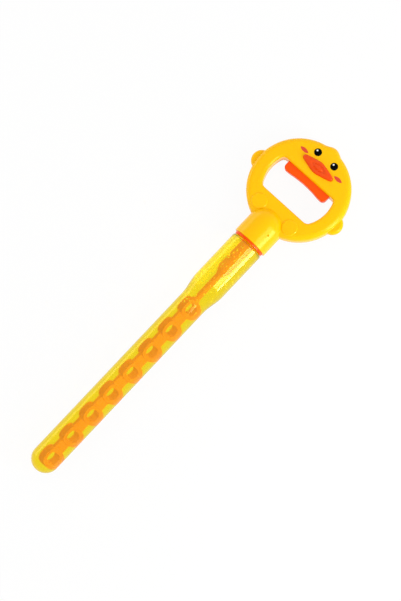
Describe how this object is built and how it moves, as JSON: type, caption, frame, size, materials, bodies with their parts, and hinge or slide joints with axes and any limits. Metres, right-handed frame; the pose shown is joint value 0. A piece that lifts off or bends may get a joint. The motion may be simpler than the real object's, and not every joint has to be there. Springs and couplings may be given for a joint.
{
  "type": "bubble wand",
  "caption": "Long bubble wand: a ringed stick in a clear bottle of solution, under a round duck-face grip head with a finger window and a squeaker trigger.",
  "frame": {"origin": "on the surface that the wand lies on, below the middle of its length", "axes": "+X along the wand towards the top of the head, +Z out of the face of the head"},
  "size_m": [0.4476, 0.12, 0.0395],
  "materials": {
    "bottle_plastic": "clear tinted, blow moulded",
    "solution": "clear soapy water",
    "gasket_rubber": "foamed liner",
    "cap_plastic": "moulded, semi gloss",
    "stick_plastic": "moulded, semi gloss",
    "steel": "zinc plated",
    "shell_plastic": "moulded, semi gloss",
    "beak_plastic": "moulded, glossy",
    "eye_plastic": "moulded, glossy",
    "cheek_ink": "pad printed ink",
    "bellows_rubber": "soft vinyl",
    "reed_plastic": "moulded"
  },
  "bodies": {
    "bottle": {"bottle": "bottle_plastic", "bubble_solution": "solution"},
    "seal": {"gasket": "gasket_rubber"},
    "stopper": {"neck_stopper": "cap_plastic"},
    "head": {"screw_cap": "cap_plastic", "bubble_stick": "stick_plastic", "stem_washer": "steel", "stem_screw": "steel", "front_shell": "shell_plastic", "rear_shell": "shell_plastic", "shell_screws": "steel", "beak": "beak_plastic", "left_eye": "eye_plastic", "right_eye": "eye_plastic", "cheek_marks": "cheek_ink", "left_spring": "steel", "right_spring": "steel", "squeaker_bellows": "bellows_rubber", "squeaker_reed": "reed_plastic"},
    "trigger": {"trigger": "cap_plastic"}
  },
  "joints": [
    {"name": "wand_pull", "type": "slide", "parent": "bottle", "child": "seal", "axis": [1, 0, 0], "range_m": [0, 0.33], "deforming": ["bubble_solution"]},
    {"name": "cap_rise", "type": "slide", "parent": "seal", "child": "stopper", "axis": [1, 0, 0], "range_m": [0, 0.00601]},
    {"name": "cap_turn", "type": "hinge", "parent": "stopper", "child": "head", "pos_m": [0, 0, 0.01975], "axis": [1, 0, 0], "range_deg": [0, 540]},
    {"name": "trigger_pull", "type": "slide", "parent": "head", "child": "trigger", "axis": [1, 0, 0], "range_m": [0, 0.005], "stiffness_N_per_m": 400, "springref_m": -0.003, "deforming": ["left_spring", "right_spring", "squeaker_bellows"]}
  ],
  "couplings": [
    {"joint": "cap_rise", "follows": "cap_turn", "m_per_rad": 0.00063662}
  ]
}
